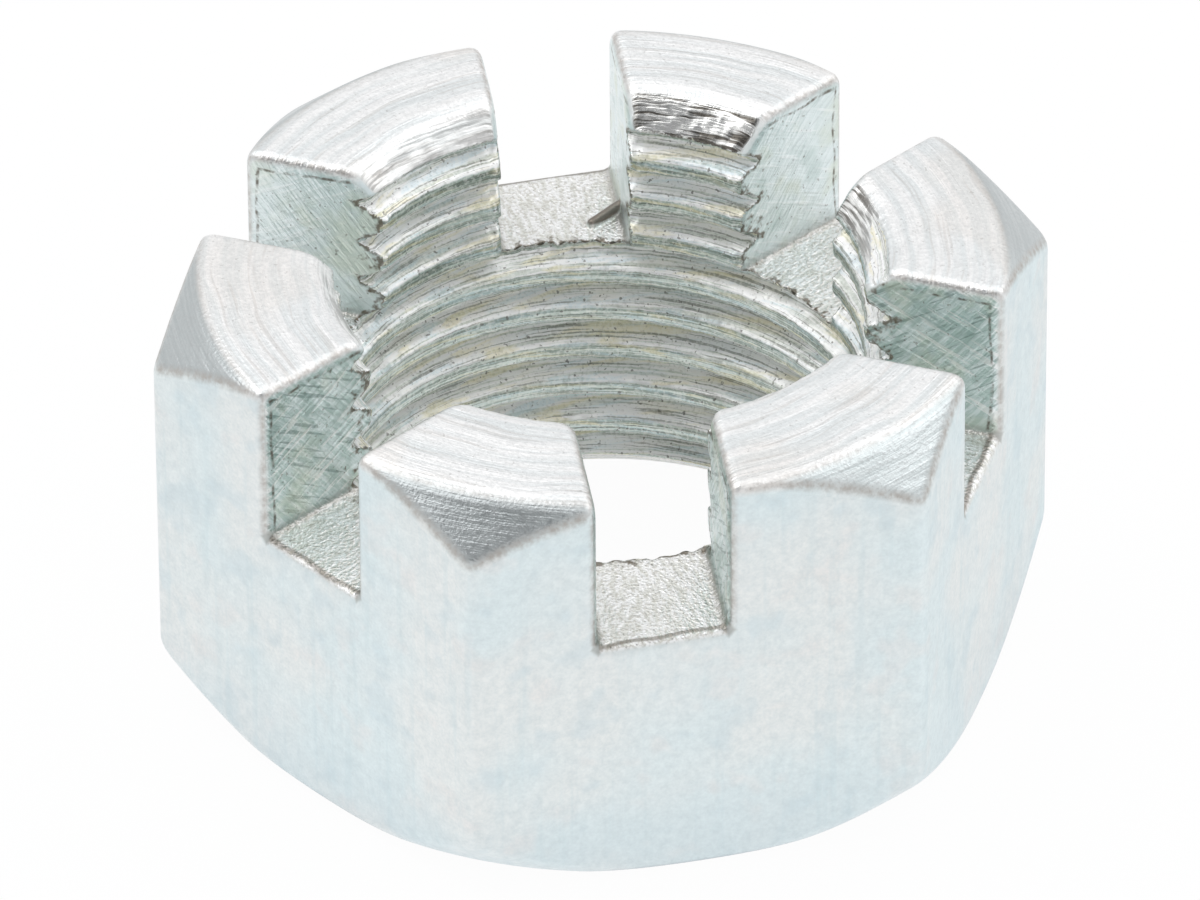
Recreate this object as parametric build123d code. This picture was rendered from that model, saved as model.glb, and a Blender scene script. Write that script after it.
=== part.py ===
from build123d import *
from math import cos, hypot, radians, sin, sqrt, tan
import os

# Slotted hexagon nut for a 3/4-16 UNF bolt, machined from one piece of steel.
# Millimetres.  The origin is the centre of the bearing face, on the thread axis, and +Z
# points up to the castellated end.  One pair of flats faces -Y and +Y.

INCH = 25.4

# Hexagon
across_flats = 1.0625 * INCH
height = 15.55
corner_fillet = 0.5             # rounding along the six upright corners

# Outside chamfers: cones that trim the corners at both ends
top_face_diameter = 27.25
top_chamfer_angle = 42.0        # from the top face
bearing_face_diameter = 27.05
bottom_chamfer_angle = 46.0     # from the bearing face

# Bore: the minor diameter of the thread, countersunk at both ends
minor_diameter = 0.696 * INCH
top_countersink_diameter = 19.3
bottom_countersink_diameter = 19.6
countersink_angle = 45.0        # from the axis

# Cotter-pin slots: three saw cuts straight through the crown
slot_width = 4.45
slot_floor_height = 9.65
slot_root_fillet = 0.25
flat_centre_lines = (90.0, 150.0, 210.0)    # the cuts run along these directions
saw_misses = (0.0, -4.9, -1.5)              # by how far each cut was clocked off its line

# Tumbled edges
rim_fillet = 0.35               # round both end faces, and between the top chamfer and the flats
slot_edge_fillet = 0.25         # round the mouths of the slots

overrun = 1.0                   # how far cutting tools run past the metal
on_plane = 0.002                # how near a point is to a plane that it lies on


def corner_radius():
    """From the axis to a sharp corner of the hexagon."""
    return across_flats / sqrt(3)


def slot_angles():
    return [line + miss for line, miss in zip(flat_centre_lines, saw_misses)]


def hexagon_bar():
    """Hexagon bar with a corner on +X and its upright corners rounded."""
    profile = RegularPolygon(radius=corner_radius(), side_count=6)
    bar = extrude(profile, height)
    uprights = bar.edges().filter_by(Axis.Z)
    return fillet(uprights, corner_fillet)


def turned_outline():
    """The solid of revolution that gives the end faces, their rims and the chamfer cones."""
    reach = corner_radius() + overrun
    top_radius = top_face_diameter / 2
    bearing_radius = bearing_face_diameter / 2
    top_drop = (reach - top_radius) * tan(radians(top_chamfer_angle))
    bottom_rise = (reach - bearing_radius) * tan(radians(bottom_chamfer_angle))
    bearing_rim = (bearing_radius, 0, 0)
    top_rim = (top_radius, 0, height)
    outline = Polyline(
        (0, 0, 0),
        bearing_rim,
        (reach, 0, bottom_rise),
        (reach, 0, height - top_drop),
        top_rim,
        (0, 0, height),
        close=True,
    )
    section = make_face(outline)
    rims = [
        section.vertices().sort_by_distance(bearing_rim)[0],
        section.vertices().sort_by_distance(top_rim)[0],
    ]
    return revolve(fillet(rims, rim_fillet), Axis.Z)


def blank():
    """The nut before it is bored and slotted."""
    body = hexagon_bar() & turned_outline()
    plain_curves = (GeomType.LINE, GeomType.CIRCLE)
    chamfer_to_flat = body.edges().filter_by(lambda edge: edge.geom_type not in plain_curves)
    crown = [edge for edge in chamfer_to_flat if edge.center().Z > height / 2]
    return fillet(crown, rim_fillet)


def bore():
    """The threaded hole at its minor diameter, with a countersink at each end."""
    radius = minor_diameter / 2
    top_radius = top_countersink_diameter / 2
    bottom_radius = bottom_countersink_diameter / 2
    slope = tan(radians(countersink_angle))
    outline = Polyline(
        (0, 0, -overrun),
        (bottom_radius + overrun * slope, 0, -overrun),
        (radius, 0, (bottom_radius - radius) / slope),
        (radius, 0, height - (top_radius - radius) / slope),
        (top_radius + overrun * slope, 0, height + overrun),
        (0, 0, height + overrun),
        close=True,
    )
    return revolve(make_face(outline), Axis.Z)


def slot_cutter(angle):
    """One saw cut across the whole crown, with rounded lower corners."""
    depth = height - slot_floor_height + overrun
    length = 2 * (corner_radius() + overrun)
    blade = Pos(0, 0, slot_floor_height + depth / 2) * Box(length, slot_width, depth)
    roots = blade.edges().filter_by(Axis.X).group_by(Axis.Z)[0]
    return Rot(0, 0, angle) * fillet(roots, slot_root_fillet)


def rounds_slot_mouth(edge):
    """Whether an edge bounds the wall of a slot, above the floor and outside the bore."""
    points = [edge.position_at(step) for step in (0, 0.5, 1)]
    if points[1].Z < slot_floor_height + slot_root_fillet + on_plane:
        return False
    if hypot(points[1].X, points[1].Y) < top_countersink_diameter / 2:
        return False
    for angle in slot_angles():
        across = Vector(-sin(radians(angle)), cos(radians(angle)), 0)
        gaps = [abs(abs(point.dot(across)) - slot_width / 2) for point in points]
        if max(gaps) < on_plane:
            return True
    return False


def castle_nut():
    nut = blank() - bore()
    for angle in slot_angles():
        nut -= slot_cutter(angle)
    mouths = nut.edges().filter_by(rounds_slot_mouth)
    return fillet(mouths, slot_edge_fillet)


if __name__ == "__main__":
    os.makedirs("parts", exist_ok=True)
    nut = castle_nut()
    nut.label = "castle_nut"
    export_step(nut, "parts/castle_nut.step")
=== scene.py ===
import bpy
import math
import numpy as np
from mathutils import Matrix, Vector


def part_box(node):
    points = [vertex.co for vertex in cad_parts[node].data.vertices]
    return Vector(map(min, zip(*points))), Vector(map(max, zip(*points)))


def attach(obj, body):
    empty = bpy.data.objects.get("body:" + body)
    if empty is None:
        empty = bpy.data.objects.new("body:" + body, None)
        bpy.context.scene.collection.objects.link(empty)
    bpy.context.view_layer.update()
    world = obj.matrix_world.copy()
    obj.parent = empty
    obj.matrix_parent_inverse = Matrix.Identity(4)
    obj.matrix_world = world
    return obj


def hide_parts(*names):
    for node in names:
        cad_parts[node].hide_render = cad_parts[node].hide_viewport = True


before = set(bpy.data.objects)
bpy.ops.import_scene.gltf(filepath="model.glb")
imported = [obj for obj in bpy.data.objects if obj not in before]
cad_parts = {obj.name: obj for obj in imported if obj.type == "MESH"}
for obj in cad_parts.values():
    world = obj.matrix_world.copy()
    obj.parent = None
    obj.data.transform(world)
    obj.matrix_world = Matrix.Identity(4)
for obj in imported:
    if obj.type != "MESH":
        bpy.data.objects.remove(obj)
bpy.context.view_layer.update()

# ---------------------------------------------------------------- sizes, in millimetres
MM = 1000.0
low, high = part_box("castle_nut")
FLATS = (high[1] - low[1]) * MM
HEIGHT = (high[2] - low[2]) * MM
HALF_FLATS = FLATS / 2
FACE_ANGLES = (30, 90, 150)      # the ways the flats face, each with its opposite
TOP_RADIUS, TOP_ANGLE = 13.625, math.radians(42.0)
BEARING_RADIUS, BEARING_ANGLE = 13.525, math.radians(46.0)

PITCH = 25.4 / 16
CREST_RADIUS, ROOT_RADIUS = 8.839, 9.60
LAND_HALF = 0.26                 # half the width of a crest's land
FLANK_SLOPE = math.sqrt(3)       # radius gained per millimetre of height on a 60 degree thread
TOP_SINK, BOTTOM_SINK = 9.65, 9.8
SINK_SHIFT = (-0.39, 0.37)       # the top countersink is off centre

SLOT_HALF = 4.45 / 2
SLOT_FLOOR = 9.65
SLOT_ANGLES = (90.0, 150.0 - 4.9, 210.0 - 1.5)   # two are clocked off the flats' centre lines
SLOT_OUTSIDE = 9.0               # stands for far from any slot
BURR, BURR_RADIUS = ((-7.75, 6.80, 9.70), (-7.72, 8.00, 9.86)), 0.19
BURR_STAIN = (-7.735, 7.35, 9.95)                # the middle of the burr's brown stain

# how widely each crease is rounded
BLEND = {
    "corner": 0.36, "cone": 0.32, "top": 0.32, "sink": 0.45, "bearing": 0.40, "base": 0.30,
    "slot_root": 0.35, "slot_mouth": 0.50, "burr": 0.12,
    "crest": 0.10, "root": 0.16, "bottom_sink": 0.10, "bore": 0.14,
}

# a smooth uneven pattern: a weight, and two waves by their x, y and z rates and their start
RIPPLE = (
    (0.65, (5.1, 3.3, -2.2, 0.7), (-2.9, 4.7, 5.9, 1.9)),
    (0.45, (9.7, -7.1, 8.3, 0.0), (6.1, 10.3, -7.7, 0.4)),
)
SINK_UNEVEN, BORE_UNEVEN = 0.02, 0.02
ACROSS_FLANK = 0.75              # turns a gap in radius into about a distance on a flank
TORN, TORN_REACH = 0.07, 0.35    # how much more uneven the thread is where a slot cuts it

CELL = 0.125
TRIANGLES = 190_000
MARGIN, MARGIN_BELOW = 2.3, 2.37  # in cells; odd, so that no grid plane lies on a face
GRADIENT_STEP, LEAST_SLOPE, LONGEST_MOVE = 0.004, 0.05, 0.08


# ---------------------------------------------------------------- the nut as a field
def smooth_max(a, b, blend):
    """The larger of two fields, with the crease between them rounded over `blend`."""
    near = np.maximum(blend - np.abs(a - b), 0.0) / blend
    return np.maximum(a, b) + near * near * (blend * 0.25)


def smooth_min(a, b, blend):
    return -smooth_max(-a, -b, blend)


def hexagon(x, y):
    """Distance outside the hexagon's flats, with its upright corners rounded."""
    field = None
    for degrees in range(30, 390, 60):
        a = math.radians(degrees)
        side = x * math.cos(a) + y * math.sin(a) - HALF_FLATS
        field = side if field is None else smooth_max(field, side, BLEND["corner"])
    return field


def thread_wall(x, y, z):
    """Radius of the threaded wall at each point."""
    turn = np.arctan2(y, x) * (PITCH / (2 * math.pi))
    phase = (z - turn) / PITCH
    offset = np.abs(phase - np.round(phase)) * PITCH
    flank = CREST_RADIUS + (offset - LAND_HALF) * FLANK_SLOPE
    wall = smooth_max(flank, np.full_like(flank, CREST_RADIUS), BLEND["crest"])
    return smooth_min(wall, np.full_like(wall, ROOT_RADIUS), BLEND["root"])


def ripple(x, y, z):
    """A smooth uneven pattern between about -1 and 1, a millimetre or less across."""
    def wave(a, b, c, start):
        return np.sin(a * x + b * y + c * z + start)
    return sum(weight * (wave(*one) * wave(*two)) for weight, one, two in RIPPLE)


def burr(x, y, z):
    """Distance to the little folded burr that the saw left on one slot's floor."""
    near, far = np.array(BURR[0]), np.array(BURR[1])
    line = far - near
    dx, dy, dz = x - near[0], y - near[1], z - near[2]
    share = np.clip((dx * line[0] + dy * line[1] + dz * line[2]) / (line @ line), 0.0, 1.0)
    return np.sqrt((dx - share * line[0]) ** 2 + (dy - share * line[1]) ** 2
                   + (dz - share * line[2]) ** 2) - BURR_RADIUS


def nut_fields(x, y, z):
    """The nut without its bore, and the bore: negative in the metal and positive outside it."""
    radius = np.sqrt(x * x + y * y)
    uneven = ripple(x, y, z)
    top_cone = (radius - TOP_RADIUS) * math.sin(TOP_ANGLE) + (z - HEIGHT) * math.cos(TOP_ANGLE)
    bottom_cone = ((radius - BEARING_RADIUS) * math.sin(BEARING_ANGLE)
                   - z * math.cos(BEARING_ANGLE))
    sink_radius = np.sqrt((x - SINK_SHIFT[0]) ** 2 + (y - SINK_SHIFT[1]) ** 2)
    top_sink = ((TOP_SINK - (HEIGHT - z) - sink_radius) * math.sqrt(0.5)
                + SINK_UNEVEN * uneven)
    body = smooth_max(hexagon(x, y) + 0 * z, top_cone, BLEND["cone"])
    body = smooth_max(body, z - HEIGHT, BLEND["top"])
    body = smooth_max(body, top_sink, BLEND["sink"])
    body = smooth_max(body, bottom_cone, BLEND["bearing"])
    body = smooth_max(body, -z, BLEND["base"])
    mouth = SLOT_OUTSIDE
    for degrees in SLOT_ANGLES:
        a = math.radians(degrees)
        across = np.abs(y * math.cos(a) - x * math.sin(a))
        slot = smooth_min(SLOT_HALF - across + 0 * z, z - SLOT_FLOOR + 0 * across,
                          BLEND["slot_root"])
        body = smooth_max(body, slot, BLEND["slot_mouth"])
        mouth = np.minimum(mouth, np.abs(slot))
    body = smooth_min(body, burr(x, y, z), BLEND["burr"])
    torn = BORE_UNEVEN + TORN * np.exp(-(mouth / TORN_REACH) ** 2)
    bottom_sink = (BOTTOM_SINK - z - radius) * math.sqrt(0.5)
    bore = (thread_wall(x, y, z) - radius) * ACROSS_FLANK + torn * uneven
    return body, smooth_max(bore, bottom_sink, BLEND["bottom_sink"])


def nut_field(x, y, z):
    """Negative in the metal, positive outside it, and close to the distance near its surface."""
    return smooth_max(*nut_fields(x, y, z), BLEND["bore"])


def field_gradient(points):
    step = GRADIENT_STEP
    x, y, z = points.T
    return np.stack([
        nut_field(x + step, y, z) - nut_field(x - step, y, z),
        nut_field(x, y + step, z) - nut_field(x, y - step, z),
        nut_field(x, y, z + step) - nut_field(x, y, z - step),
    ], axis=1) / (2 * step)


def to_surface(points, rounds):
    """Moves points along the field's slope until they lie on the surface."""
    for _ in range(rounds):
        slope = field_gradient(points)
        size = np.maximum((slope * slope).sum(axis=1), LEAST_SLOPE)
        move = slope * (nut_field(*points.T) / size)[:, None]
        points = points - np.clip(move, -LONGEST_MOVE, LONGEST_MOVE)
    return points


# ---------------------------------------------------------------- the nut as a mesh
def unpinch(grid):
    """Flips the weakest corner of each grid square whose inside corners only meet diagonally.

    The net would be pinched to a single edge there, with four faces on it."""
    corners = ((0, 0), (1, 0), (1, 1), (0, 1))
    for _ in range(6):
        inside = grid < 0
        flips = set()
        for one, two in ((0, 1), (1, 2), (0, 2)):
            views = []
            for a, b in corners:
                cut = [slice(None)] * 3
                cut[one], cut[two] = slice(a, a - 1 or None), slice(b, b - 1 or None)
                views.append(inside[tuple(cut)])
            pinched = (views[0] == views[2]) & (views[1] == views[3]) & (views[0] != views[1])
            for spot in np.argwhere(pinched):
                square = []
                for a, b in corners:
                    corner = spot.copy()
                    corner[one] += a
                    corner[two] += b
                    square.append(tuple(corner))
                flips.add(min(square, key=lambda c: abs(grid[c])))
        for corner in flips:
            grid[corner] *= -0.1
        if not flips:
            break


def surface_net(cell):
    """Vertices and quads of the nut's surface on a grid of cubes `cell` wide."""
    reach_x = HALF_FLATS * 2 / math.sqrt(3) + MARGIN * cell
    reach_y = HALF_FLATS + MARGIN * cell
    xs = np.arange(-reach_x, reach_x + cell, cell)
    ys = np.arange(-reach_y, reach_y + cell, cell)
    zs = np.arange(-MARGIN_BELOW * cell, HEIGHT + 2 * cell, cell)
    grid = nut_field(xs[:, None, None], ys[None, :, None], zs[None, None, :])
    unpinch(grid)
    inside = grid < 0
    shape = np.array(grid.shape)
    strides = np.array([shape[1] * shape[2], shape[2], 1])
    flat = grid.ravel()
    owners, spots, quads = [], [], []
    for axis in range(3):
        ahead = [slice(None)] * 3
        behind = [slice(None)] * 3
        ahead[axis], behind[axis] = slice(1, None), slice(None, -1)
        crossed = np.argwhere(inside[tuple(ahead)] != inside[tuple(behind)])
        start = crossed @ strides
        f0, f1 = flat[start], flat[start + strides[axis]]
        spot = np.stack([xs[crossed[:, 0]], ys[crossed[:, 1]], zs[crossed[:, 2]]], axis=1)
        spot[:, axis] += cell * f0 / (f0 - f1)
        one, two = [(1, 2), (2, 0), (0, 1)][axis]
        around = [start - strides[one] - strides[two], start - strides[two],
                  start, start - strides[one]]
        for cube in around:
            owners.append(cube)
            spots.append(spot)
        quad = np.stack(around, axis=1)
        quad[f0 >= 0] = quad[f0 >= 0][:, ::-1]
        quads.append(quad)
    owners, spots = np.concatenate(owners), np.concatenate(spots)
    cubes, index = np.unique(owners, return_inverse=True)
    count = np.bincount(index)
    points = np.stack([np.bincount(index, spots[:, k]) / count for k in range(3)], axis=1)
    return points, np.searchsorted(cubes, np.concatenate(quads))


def set_points(mesh, points):
    mesh.vertices.foreach_set("co", (points / MM).astype(np.float32).ravel())


def mesh_from(name, points, faces):
    mesh = bpy.data.meshes.new(name)
    mesh.vertices.add(len(points))
    set_points(mesh, points)
    mesh.loops.add(faces.size)
    mesh.loops.foreach_set("vertex_index", faces.astype(np.int32).ravel())
    mesh.polygons.add(len(faces))
    starts = np.arange(0, faces.size, faces.shape[1], dtype=np.int32)
    mesh.polygons.foreach_set("loop_start", starts)
    mesh.update(calc_edges=True)
    mesh.validate()
    return mesh


def mesh_points(mesh):
    flat = np.empty(len(mesh.vertices) * 3, dtype=np.float32)
    mesh.vertices.foreach_get("co", flat)
    return flat.reshape(-1, 3).astype(float) * MM


def add_object(name, data):
    thing = bpy.data.objects.new(name, data)
    bpy.context.scene.collection.objects.link(thing)
    return thing


def thinned(mesh, triangles):
    """The mesh collapsed to about this many triangles, most of them where it curves."""
    thing = add_object("to_thin", mesh)
    collapse = thing.modifiers.new("collapse", "DECIMATE")
    collapse.ratio = triangles / (2.0 * len(mesh.polygons))
    collapse.use_collapse_triangulate = True
    graph = bpy.context.evaluated_depsgraph_get()
    result = bpy.data.meshes.new_from_object(thing.evaluated_get(graph))
    bpy.data.objects.remove(thing)
    return result


def build_nut():
    points, quads = surface_net(CELL)
    fine = mesh_from("nut_fine", to_surface(points, 3), quads)
    mesh = thinned(fine, TRIANGLES)
    bpy.data.meshes.remove(fine)
    points = to_surface(mesh_points(mesh), 2)
    set_points(mesh, points)
    mesh.update()
    mesh.polygons.foreach_set("use_smooth", np.ones(len(mesh.polygons), dtype=bool))
    slope = field_gradient(points)
    normals = slope / np.linalg.norm(slope, axis=1)[:, None]
    mesh.normals_split_custom_set_from_vertices(normals.tolist())

    # how near each point is to the bore, from 1 on it to 0 a millimetre away
    near = np.clip(1 + nut_fields(*points.T)[1], 0.0, 1.0).astype(np.float32)
    mesh.attributes.new("near_bore", "FLOAT", "POINT").data.foreach_set("value", near)
    # the faces of the bore take the second material
    corners = np.empty(len(mesh.loops), dtype=np.int32)
    mesh.loops.foreach_get("vertex_index", corners)
    body, bore = nut_fields(*points[corners.reshape(-1, 3)].mean(axis=1).T)
    mesh.polygons.foreach_set("material_index", (bore > body).astype(np.int32))
    mesh.name = "nut_body"
    print("nut mesh", len(mesh.vertices), "points", len(mesh.polygons), "triangles")
    return add_object("nut_body", mesh)


# ---------------------------------------------------------------- materials
def colour(red, green, blue):
    """A colour written as it shows on screen, from 0 to 255."""
    def linear(value):
        value /= 255
        return value / 12.92 if value <= 0.04045 else ((value + 0.055) / 1.055) ** 2.4
    return (linear(red), linear(green), linear(blue), 1)


def grey(level):
    return (level, level, level, 1)


class Graph:
    """Short names for wiring the nodes of a material or a world."""

    def __init__(self, owner):
        owner.use_nodes = True
        self.nodes, self.links = owner.node_tree.nodes, owner.node_tree.links

    def feed(self, socket, value):
        if isinstance(value, bpy.types.NodeSocket):
            self.links.new(value, socket)
        elif value is not None:
            socket.default_value = value

    def math(self, operation, a, b=None, c=None):
        node = self.nodes.new("ShaderNodeMath")
        node.operation = operation
        for socket, value in zip(node.inputs, (a, b, c)):
            self.feed(socket, value)
        return node.outputs[0]

    def times(self, value, number):
        return self.math("MULTIPLY", value, number)

    def add(self, a, b):
        return self.math("ADD", a, b)

    def fold(self, operation, values):
        result = values[0]
        for value in values[1:]:
            result = self.math(operation, result, value)
        return result

    def largest(self, *values):
        return self.fold("MAXIMUM", values)

    def smallest(self, *values):
        return self.fold("MINIMUM", values)

    def gap(self, value, number):
        """How far a value is from a number."""
        return self.math("ABSOLUTE", self.math("SUBTRACT", value, number))

    def vector(self, operation, a, b=None):
        node = self.nodes.new("ShaderNodeVectorMath")
        node.operation = operation
        self.feed(node.inputs[0], a)
        self.feed(node.inputs[1], b)
        return node.outputs["Value" if operation in ("DOT_PRODUCT", "LENGTH") else "Vector"]

    def scaled(self, a, factors):
        return self.vector("MULTIPLY", a, factors)

    def combine(self, x, y, z):
        node = self.nodes.new("ShaderNodeCombineXYZ")
        for socket, value in zip(node.inputs, (x, y, z)):
            self.feed(socket, value)
        return node.outputs[0]

    def split(self, where):
        node = self.nodes.new("ShaderNodeSeparateXYZ")
        self.feed(node.inputs[0], where)
        return node.outputs

    def map_range(self, kind, **values):
        node = self.nodes.new("ShaderNodeMapRange")
        node.interpolation_type = kind
        for name, value in values.items():
            self.feed(node.inputs[name.replace("_", " ").title()], value)
        return node.outputs["Result"]

    def step(self, value, low, high, most=1.0):
        """0 below low, most above high, smooth between; low may be the larger."""
        return self.map_range("SMOOTHSTEP", value=value, from_min=low, from_max=high, to_max=most)

    def remap(self, value, low, high, to_low, to_high):
        return self.map_range("LINEAR", value=value, from_min=low, from_max=high,
                              to_min=to_low, to_max=to_high)

    def blend(self, kind, sockets, share, a, b):
        """b where the share is 1, a where it is 0. sockets are the inputs for a and b and the
        output of that kind, because the node has a set for each kind."""
        node = self.nodes.new("ShaderNodeMix")
        node.data_type = kind
        self.feed(node.inputs[0], share)
        self.feed(node.inputs[sockets[0]], a)
        self.feed(node.inputs[sockets[1]], b)
        return node.outputs[sockets[2]]

    def blend_numbers(self, share, a, b):
        return self.blend("FLOAT", (2, 3, 0), share, a, b)

    def choose(self, flag, a, b):
        return self.blend("VECTOR", (4, 5, 1), flag, a, b)

    def mix(self, share, a, b):
        return self.blend("RGBA", (6, 7, 2), share, a, b)

    def between(self, share, one, other):
        """A colour that goes from one screen colour to the other."""
        return self.mix(share, colour(*one), colour(*other))

    def paint(self, base, *coats):
        """A colour with coats over it, each given by its share and its screen colour."""
        for share, shade in coats:
            base = self.mix(share, base, colour(*shade))
        return base

    def noise(self, where, scale=1.0, detail=2.0, roughness=0.5):
        node = self.nodes.new("ShaderNodeTexNoise")
        self.feed(node.inputs["Vector"], where)
        node.inputs["Scale"].default_value = scale
        node.inputs["Detail"].default_value = detail
        node.inputs["Roughness"].default_value = roughness
        return node.outputs["Fac"]

    def place(self):
        """Object coordinates in millimetres: the vector, its z, its level part and the latter's
        direction."""
        where = self.nodes.new("ShaderNodeTexCoord").outputs["Object"]
        where = self.scaled(where, (MM, MM, MM))
        level = self.scaled(where, (1, 1, 0))
        east, north, _ = self.split(self.vector("NORMALIZE", level))
        return where, self.split(where)[2], level, east, north

    def bump(self, relief):
        """A normal from relief in hundredths of a millimetre."""
        node = self.nodes.new("ShaderNodeBump")
        node.inputs["Strength"].default_value = 1.0
        node.inputs["Distance"].default_value = 0.01 / MM
        self.feed(node.inputs["Height"], relief)
        return node.outputs["Normal"]

    def seen(self):
        """1 for rays from the camera, from gloss and through glass, and 0 for all others."""
        path = self.nodes.new("ShaderNodeLightPath")
        return self.largest(*(path.outputs["Is %s Ray" % kind]
                              for kind in ("Camera", "Glossy", "Transmission")))

    def blend_shaders(self, output, share, a, b):
        """Shader b where the share is 1, a where it is 0, into a new output node."""
        mix = self.nodes.new("ShaderNodeMixShader")
        self.feed(mix.inputs["Fac"], share)
        self.links.new(a.outputs[0], mix.inputs[1])
        self.links.new(b.outputs[0], mix.inputs[2])
        self.links.new(mix.outputs[0], self.nodes.new(output).inputs["Surface"])


def thread_material():
    """Zinc plate in the bore: lines along the thread, painted shade on the upright roots and
    crests, and painted light on the flanks.
    """
    material = bpy.data.materials.new("zinc_thread")
    g = Graph(material)
    shader = g.nodes["Principled BSDF"]
    where, z, _, east, north = g.place()
    upward = g.split(g.nodes["Texture Coordinate"].outputs["Normal"])[2]
    phase = g.math("MULTIPLY_ADD", g.math("ARCTAN2", north, east), -PITCH / (2 * math.pi), z)
    phase = g.times(phase, 2 * math.pi / PITCH)
    lap, lap2 = g.math("COSINE", phase), g.math("SINE", phase)
    turn = g.combine(lap, lap2, z)

    # these run along the helix without a seam, because its phase comes in by sine and cosine
    lines = g.noise(g.scaled(turn, (2.6, 2.6, 10.0)), detail=2.0, roughness=0.6)
    cuts = g.noise(g.scaled(turn, (5.0, 5.0, 13.0)), detail=1.0)
    streaks = g.noise(g.combine(g.math("MULTIPLY_ADD", east, 5.0, g.times(lap, 1.1)),
                                g.math("MULTIPLY_ADD", north, 5.0, g.times(lap2, 1.1)),
                                g.times(z, 0.9)), detail=2.0)
    fine = g.noise(where, 8.0, detail=1.0, roughness=0.6)
    pits = g.noise(where, 6.0, detail=1.0, roughness=0.6)

    # painted shade on the upright roots and crests, darker still towards the top of the bore
    shaded_thread = g.between(g.step(lines, 0.40, 0.56), (164, 178, 170), (230, 240, 234))
    shaded_thread_top = g.between(g.step(lines, 0.36, 0.60), (96, 112, 102), (186, 200, 190))
    shaded_thread = g.mix(g.step(z, 8.6, 10.4, 0.55), shaded_thread, shaded_thread_top)
    # painted light on the flanks, which face up or down
    bright = g.between(g.step(lines, 0.38, 0.52), (216, 221, 214), (255, 255, 255))
    base = g.paint(
        g.mix(g.step(g.math("ABSOLUTE", upward), 0.15, 0.6), shaded_thread, bright),
        (g.step(streaks, 0.53, 0.66, 0.50), (242, 232, 188)),    # yellow streaks
        (g.step(streaks, 0.46, 0.34, 0.40), (204, 230, 240)),    # blue streaks
        (g.step(cuts, 0.58, 0.64, 0.60), (112, 112, 102)),       # dark cuts
        (g.step(fine, 0.50, 0.38, 0.34), (254, 254, 250)),       # light and dark specks
        (g.step(fine, 0.55, 0.70, 0.26), (150, 150, 138)),
        (g.step(pits, 0.67, 0.74, 0.70), (100, 97, 90)),
    )
    g.feed(shader.inputs["Base Color"], base)
    shader.inputs["Metallic"].default_value = 0.50
    g.feed(shader.inputs["Roughness"], g.remap(fine, 0.3, 0.7, 0.33, 0.44))
    g.feed(shader.inputs["Normal"],
           g.bump(g.math("MULTIPLY_ADD", streaks, 2.0, g.times(lines, 1.2))))
    return material


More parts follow.
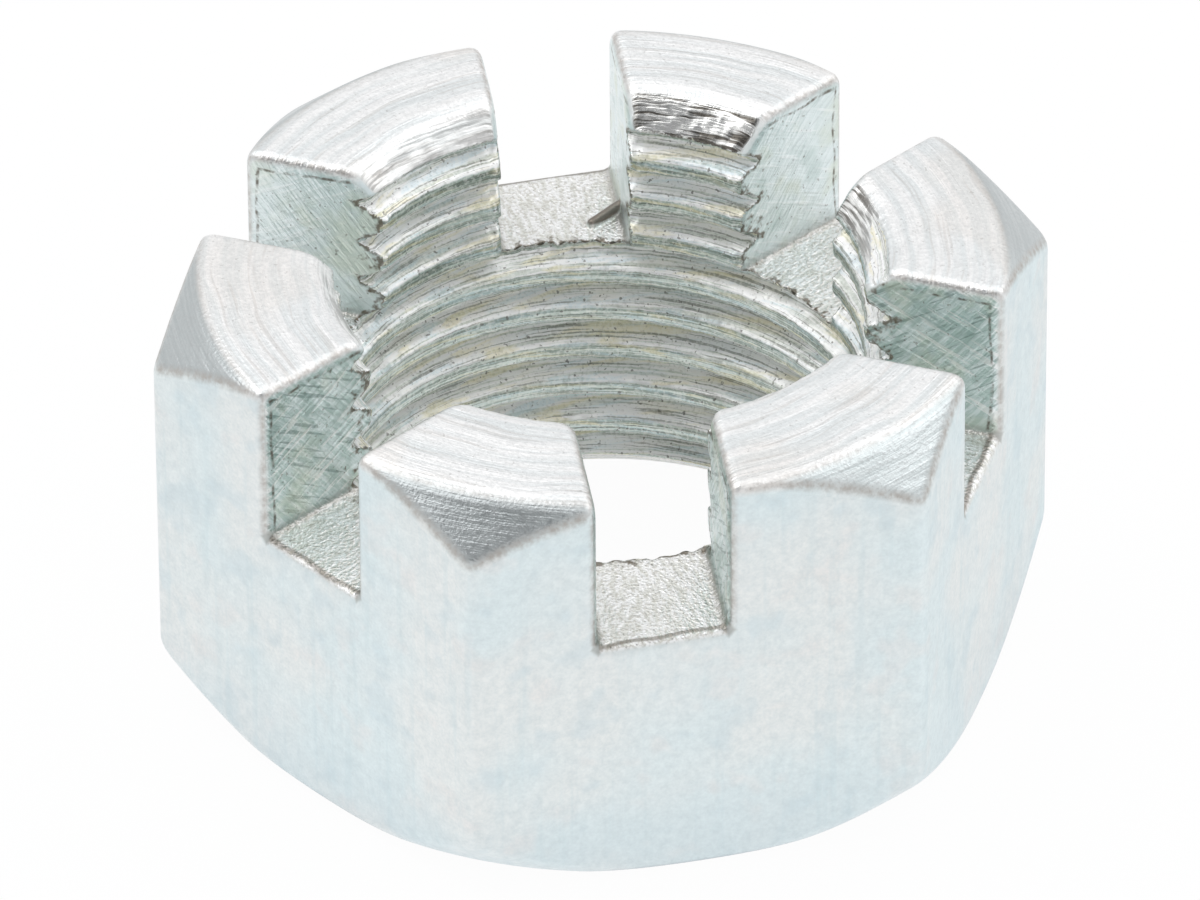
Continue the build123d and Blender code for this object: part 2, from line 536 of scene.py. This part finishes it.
def plate_material():
    """Bright zinc plate outside the bore: each machined face has its own marks, by its place."""
    material = bpy.data.materials.new("zinc_plate")
    g = Graph(material)
    shader = g.nodes["Principled BSDF"]
    where, z, level, east, north = g.place()
    radius = g.vector("LENGTH", level)
    near_bore = g.nodes.new("ShaderNodeAttribute")
    near_bore.attribute_name = "near_bore"

    def along(degrees):
        a = math.radians(degrees)
        return g.vector("DOT_PRODUCT", where, (math.cos(a), math.sin(a), 0))

    def towards(degrees):
        """From -1 on the far side to 1 on the side that faces this way."""
        a = math.radians(degrees)
        return g.math("MULTIPLY_ADD", east, math.cos(a), g.times(north, math.sin(a)))

    # how far each point is from each machined surface
    flat_depth = g.math("SUBTRACT", HALF_FLATS, g.largest(
        *(g.math("ABSOLUTE", along(degrees)) for degrees in FACE_ANGLES)))
    top_depth = g.math("SUBTRACT", HEIGHT, z)
    cone = g.math("MULTIPLY_ADD", radius, math.sin(TOP_ANGLE), g.times(z, math.cos(TOP_ANGLE)))
    cone_at = TOP_RADIUS * math.sin(TOP_ANGLE) + HEIGHT * math.cos(TOP_ANGLE)
    cone_depth = g.math("SUBTRACT", cone_at, cone)
    slots_across = [g.math("ABSOLUTE", along(degrees + 90)) for degrees in SLOT_ANGLES]
    wall_gap = g.smallest(*(g.gap(across, SLOT_HALF) for across in slots_across))
    centre_gap = g.smallest(*slots_across)
    floor_gap = g.gap(z, SLOT_FLOOR)
    sink_radius = g.vector("LENGTH", g.scaled(
        g.vector("SUBTRACT", where, (*SINK_SHIFT, 0)), (1, 1, 0)))
    sink_gap = g.gap(g.math("SUBTRACT", sink_radius, z), TOP_SINK - HEIGHT)

    # noises the same in every direction
    fine = g.noise(where, 8.0, detail=1.0, roughness=0.6)
    grain = g.noise(where, 3.0, detail=2.0, roughness=0.6)
    cloud = g.noise(where, 0.55, detail=2.0, roughness=0.6)
    tint = g.noise(where, 0.22, detail=1.0)
    pits = g.step(g.noise(where, 6.0, detail=1.0, roughness=0.6), 0.68, 0.75)
    wander = g.math("MULTIPLY_ADD", g.noise(where, 0.55, detail=0.0), 0.40, -0.20)

    # marks left by the tools: three noises, each stretched the way the tool ran on each face
    turned = g.largest(g.math("LESS_THAN", g.smallest(cone_depth, top_depth), 0.3),
                       g.math("LESS_THAN", z, 0.1))
    is_sink = g.math("LESS_THAN", sink_gap, 0.10)
    is_floor = g.times(g.math("LESS_THAN", floor_gap, 0.12),
                       g.math("LESS_THAN", centre_gap, SLOT_HALF - 0.06))
    is_wall = g.times(g.math("LESS_THAN", wall_gap, 0.08),
                      g.math("GREATER_THAN", z, SLOT_FLOOR + 0.1))
    ring = g.combine(east, north, radius)
    loose_ring = g.combine(east, north, g.add(radius, wander))
    which_wall = g.math("MULTIPLY_ADD", east, 7.0, g.times(north, 5.0))
    on_slot = g.combine(radius, z, which_wall)

    def scratches(degrees, across, lengthwise):
        """A place for straight marks on the slot walls, at an angle to the level."""
        c, s = math.cos(math.radians(degrees)), math.sin(math.radians(degrees))
        return g.combine(
            g.vector("DOT_PRODUCT", on_slot, (-s * across, c * across, 0)),
            g.vector("DOT_PRODUCT", on_slot, (c * lengthwise, s * lengthwise, 0)),
            which_wall)

    lines_at = g.scaled(where, (2.4, 2.4, 0.10))
    for flag, place in ((turned, g.scaled(ring, (3.0, 3.0, 12.0))),
                        (is_sink, g.scaled(ring, (5.0, 5.0, 8.0))),
                        (is_floor, g.scaled(ring, (55.0, 55.0, 1.4))),
                        (is_wall, scratches(52, 7.0, 0.9))):
        lines_at = g.choose(flag, lines_at, place)
    streaks_at = g.choose(is_wall, g.scaled(loose_ring, (1.3, 1.3, 2.4)),
                          scratches(-28, 6.0, 0.55))
    cuts_at = g.choose(is_wall, g.scaled(loose_ring, (2.6, 2.6, 4.4)), scratches(33, 7.5, 0.6))
    lines = g.noise(lines_at, detail=2.0, roughness=0.6)
    streaks = g.noise(streaks_at, detail=2.0, roughness=0.5)
    cuts = g.noise(cuts_at, detail=1.0)

    # the colour of each face
    flat = g.paint(
        g.between(g.step(tint, 0.36, 0.64), (242, 245, 244), (233, 244, 246)),
        (g.step(cloud, 0.54, 0.72, 0.30), (242, 234, 231)),      # warm and cool clouds
        (g.step(cloud, 0.46, 0.30, 0.35), (208, 226, 233)),
        (g.step(lines, 0.52, 0.75, 0.22), (206, 226, 231)),      # upright streaks
        (g.remap(g.add(grain, fine), 0.66, 1.34, 0.0, 0.42), (210, 220, 223)),
        (g.step(z, 4.5, 0.0, 0.20), (196, 212, 221)),            # painted shade: darker and cooler towards the base
        # painted contact shadow: a dark blue-grey band along the bottom edge
        (g.step(z, 0.30, 0.05, 0.45), (122, 126, 142)),
    )
    top = g.paint(
        g.between(g.step(streaks, 0.34, 0.60), (238, 242, 243), (255, 255, 255)),
        (g.step(cuts, 0.60, 0.68, 0.35), (206, 201, 196)),       # the lathe's broad and fine rings
        (g.step(lines, 0.50, 0.72, 0.28), (218, 221, 222)),
        (g.step(tint, 0.5, 0.62, 0.28), (242, 233, 225)),
        (g.remap(fine, 0.40, 0.66, 0.0, 0.30), (208, 210, 210)),
        (g.times(pits, 0.28), (150, 146, 140)),
    )
    chamfer = g.paint(
        g.between(g.step(lines, 0.3, 0.7), (208, 216, 217), (228, 234, 235)),
        (g.step(east, 0.86, 0.57, 0.55), (172, 176, 177)),       # painted shade: every corner but the one towards +x is darker
        (g.step(fine, 0.52, 0.66, 0.4), (190, 193, 194)),
    )
    chattered = g.step(towards(110), 0.55, 0.85)
    sink = g.between(g.step(lines, 0.40, 0.54), (108, 104, 98), (254, 254, 252))
    sink = g.mix(g.remap(chattered, 0.0, 1.0, 0.62, 0.0), sink, top)

    skin_depth = g.smallest(flat_depth, cone_depth, top_depth)
    outline = g.gap(g.math("SUBTRACT", skin_depth, wander), 0.46)
    wall = g.paint(
        g.between(g.step(lines, 0.38, 0.64), (198, 217, 214), (234, 245, 246)),
        (g.step(cuts, 0.58, 0.66, 0.60), (126, 148, 146)),       # dark and white scratches
        (g.step(streaks, 0.58, 0.64, 0.80), (250, 253, 253)),
        # painted light: the slot walls on the side away from -27 degrees are lighter
        (g.step(towards(-27), 0.1, -0.5, 0.68), (238, 246, 247)),
        (g.step(cloud, 0.48, 0.68, 0.40), (216, 222, 200)),      # yellow and teal clouds
        (g.step(cloud, 0.46, 0.32, 0.35), (164, 188, 182)),
        (g.times(g.step(outline, 0.08, 0.02), g.remap(grain, 0.40, 0.62, 0.05, 0.85)),
         (104, 94, 82)),
    )
    floor_rim = g.gap(g.math("SUBTRACT", flat_depth, wander), 0.30)
    floor = g.paint(
        g.between(g.step(lines, 0.36, 0.60), (234, 234, 229), (255, 255, 255)),
        (g.step(fine, 0.50, 0.62, 0.50), (198, 194, 184)),
        (g.step(floor_rim, 0.14, 0.03, 0.7), (112, 102, 90)),
    )

    # each face takes its colour where it lies
    above_floor = g.step(z, SLOT_FLOOR, SLOT_FLOOR + 0.2)
    on_sink = g.step(sink_gap, 0.16, 0.05)
    on_wall = g.times(g.step(wall_gap, 0.12, 0.03), above_floor)
    on_floor = g.times(g.step(centre_gap, SLOT_HALF, SLOT_HALF - 0.08),
                       g.step(floor_gap, 0.24, 0.10))
    base = flat
    for mask, face in ((g.step(top_depth, 0.50, 0.15), top),
                       (g.step(z, 0.09, 0.015), top),            # the bearing face is turned too
                       (g.step(cone_depth, 0.14, 0.02), chamfer),
                       (g.step(top_depth, 0.14, 0.02), top),
                       (on_sink, sink), (on_floor, floor), (on_wall, wall)):
        base = g.mix(mask, base, face)

    # pits, painted shade in the slots' inner corners, and a ragged brown rim along the thread
    in_slot = g.largest(on_wall, on_floor)
    crumbs = g.math("MULTIPLY_ADD", grain, 0.9, near_bore.outputs["Fac"])
    base = g.paint(
        base,
        (g.times(g.times(pits, in_slot), 0.55), (122, 118, 110)),
        # painted shade where slot wall and floor meet
        (g.step(g.add(wall_gap, floor_gap), 0.36, 0.14, 0.55), (146, 143, 134)),
        (g.times(g.step(crumbs, 1.22, 1.42, 0.85), in_slot), (112, 100, 84)),
    )

    # the rounded edges between the faces, rubbed to a mottled grey-brown here and there
    slot_edge = g.largest(wall_gap, g.smallest(top_depth, flat_depth))
    rubbed = g.largest(
        g.step(g.largest(flat_depth, cone_depth), 0.26, 0.03),
        g.step(g.largest(cone_depth, top_depth), 0.20, 0.03, 0.55),
        g.times(g.step(slot_edge, 0.36, 0.05), above_floor))
    mottle = g.remap(g.math("MULTIPLY_ADD", fine, 0.4, grain), 0.55, 0.85, 0.35, 0.90)
    to_burr = g.vector("LENGTH", g.scaled(
        g.vector("SUBTRACT", where, BURR_STAIN), (1.0, 0.30, 1.0)))
    base = g.paint(base, (g.times(rubbed, mottle), (182, 175, 168)),
                   (g.step(to_burr, 0.34, 0.24, 0.9), (122, 110, 98)))
    g.feed(shader.inputs["Base Color"], base)
    shader.inputs["Metallic"].default_value = 0.85

    rough = g.remap(g.step(flat_depth, 0.14, 0.02), 0.0, 1.0, 0.34, 0.50)
    rough = g.math("MULTIPLY_ADD", g.times(on_sink, chattered), -0.10, rough)
    g.feed(shader.inputs["Roughness"], g.math("MULTIPLY_ADD", grain, 0.27, g.add(rough, -0.13)))

    # relief: how deep each noise cuts, in hundredths of a millimetre, on each face
    cut = g.largest(is_sink, is_floor, is_wall)
    relief = g.times(g.add(lines, -0.5), g.blend_numbers(cut, g.times(turned, 2.4), 4.5))
    relief = g.math("MULTIPLY_ADD", g.add(streaks, -0.5),
                    g.blend_numbers(is_wall, g.times(turned, 5.5), 4.0), relief)
    fine_depth = g.blend_numbers(is_floor, g.math("MULTIPLY_ADD", turned, 1.2, 0.6), 5.0)
    relief = g.math("MULTIPLY_ADD", g.add(fine, -0.5), fine_depth, relief)
    g.feed(shader.inputs["Normal"], g.bump(relief))
    return material


# ---------------------------------------------------------------- the stage, in metres
FLOOR_HALF = 2.0
FLOOR_Z = -0.00002               # a hair under the nut, so that the two never share a plane
FLOOR_GREY, FLOOR_GLOW = 0.90, 0.96
SKY, SKY_STRENGTH = (0.95, 0.97, 1.0, 1), 0.95

# each lamp's name, place, width and watts
LAMPS = (
    ("key", (-0.25, -0.15, 0.45), 0.50, 0.6),
    ("fill", (0.10, 0.42, 0.42), 0.50, 0.4),
    ("overhead", (0.0, 0.0, 0.60), 1.20, 0.75),
)

CARD_AZIMUTH, CARD_ELEVATION = math.radians(-72), math.radians(54)
CARD_DISTANCE, CARD_HALF = 0.55, 0.20
CARD_GREY = 0.15

# the camera as fitted to the photograph; its distance and its aim are in widths across flats
CAMERA_TURN, CAMERA_ELEVATION = math.radians(46.83), math.radians(36.48)
CAMERA_ROLL = math.radians(-0.39)
CAMERA_DISTANCE = 20.748
AIM_SIDEWAYS, AIM_HEIGHT = -0.0048, 0.2834
CAMERA_LENS, CAMERA_SENSOR = 495.17, 36.0        # in millimetres


def floor_material():
    """White to the camera and to mirrors, and matt to the light, so that it takes shadows."""
    material = bpy.data.materials.new("floor")
    g = Graph(material)
    g.nodes.clear()
    matt = g.nodes.new("ShaderNodeBsdfDiffuse")
    matt.inputs["Color"].default_value = grey(FLOOR_GREY)
    white = g.nodes.new("ShaderNodeEmission")
    white.inputs["Strength"].default_value = 1.0
    g.blend_shaders("ShaderNodeOutputMaterial", g.times(g.seen(), FLOOR_GLOW), matt, white)
    return material


def card_material():
    material = bpy.data.materials.new("dark_card")
    material.use_nodes = True
    shader = material.node_tree.nodes["Principled BSDF"]
    shader.inputs["Base Color"].default_value = grey(CARD_GREY)
    shader.inputs["Roughness"].default_value = 1.0
    return material


def sheet(name, corners, material):
    """A flat piece with four corners."""
    mesh = bpy.data.meshes.new(name)
    mesh.from_pydata(corners, [], [(0, 1, 2, 3)])
    mesh.materials.append(material)
    return add_object(name, mesh)


def studio_world():
    """Even light from all around, a little cool, which mirrors see as a plain pale grey."""
    world = bpy.data.worlds.new("studio")
    bpy.context.scene.world = world
    g = Graph(world)
    g.nodes.clear()
    sky = g.nodes.new("ShaderNodeBackground")
    sky.inputs["Color"].default_value = SKY
    sky.inputs["Strength"].default_value = SKY_STRENGTH
    plain = g.nodes.new("ShaderNodeBackground")
    plain.inputs["Strength"].default_value = 1.0
    g.blend_shaders("ShaderNodeOutputWorld", g.seen(), sky, plain)


def area_lamp(name, place, width, watts):
    """A round lamp that faces the origin."""
    data = bpy.data.lights.new(name, "AREA")
    data.shape = "DISK"
    data.size = width
    data.energy = watts
    lamp = add_object(name, data)
    lamp.location = place
    facing = Vector((0, 0, 0)) - Vector(place)
    lamp.rotation_euler = facing.to_track_quat("-Z", "Y").to_euler()


def dark_card():
    """A dark card over the camera, which the faces turned that way mirror."""
    away = np.array([math.cos(CARD_AZIMUTH) * math.cos(CARD_ELEVATION),
                     math.sin(CARD_AZIMUTH) * math.cos(CARD_ELEVATION),
                     math.sin(CARD_ELEVATION)])
    side = np.cross(away, (0, 0, 1.0))
    side /= np.linalg.norm(side)
    up = np.cross(side, away)
    corners = [tuple(away * CARD_DISTANCE + side * CARD_HALF * a + up * CARD_HALF * b)
               for a, b in ((-1, -1), (1, -1), (1, 1), (-1, 1))]
    card = sheet("dark_card", corners, card_material())
    card.visible_camera = False
    card.visible_shadow = False


def camera():
    """The photograph's view: from the front right, well above, through a long lens."""
    turn, elevation, roll = CAMERA_TURN, CAMERA_ELEVATION, CAMERA_ROLL
    aim = np.array([AIM_SIDEWAYS * math.cos(turn), AIM_SIDEWAYS * math.sin(turn), AIM_HEIGHT])
    side = np.array([math.cos(turn), math.sin(turn), 0.0])
    ahead = np.array([-math.sin(turn) * math.cos(elevation),
                      math.cos(turn) * math.cos(elevation), -math.sin(elevation)])
    up = np.cross(side, ahead)
    right = side * math.cos(roll) + up * math.sin(roll)
    above = -side * math.sin(roll) + up * math.cos(roll)
    place = aim * FLATS / MM - ahead * (CAMERA_DISTANCE * FLATS / MM)
    data = bpy.data.cameras.new("camera")
    data.sensor_width = CAMERA_SENSOR
    data.lens = CAMERA_LENS
    data.clip_start, data.clip_end = 0.01, 50.0
    thing = add_object("camera", data)
    thing.matrix_world = Matrix([*zip(right, above, -ahead, place), (0, 0, 0, 1)])
    bpy.context.scene.camera = thing


camera()
nut = build_nut()
nut.data.materials.append(plate_material())
nut.data.materials.append(thread_material())
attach(nut, "root")
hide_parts("castle_nut")

floor = sheet("floor", [(x * FLOOR_HALF, y * FLOOR_HALF, FLOOR_Z)
                        for x, y in ((-1, -1), (1, -1), (1, 1), (-1, 1))], floor_material())

studio_world()
for lamp in LAMPS:
    area_lamp(*lamp)
dark_card()

scene = bpy.context.scene
scene.view_settings.view_transform = "Standard"
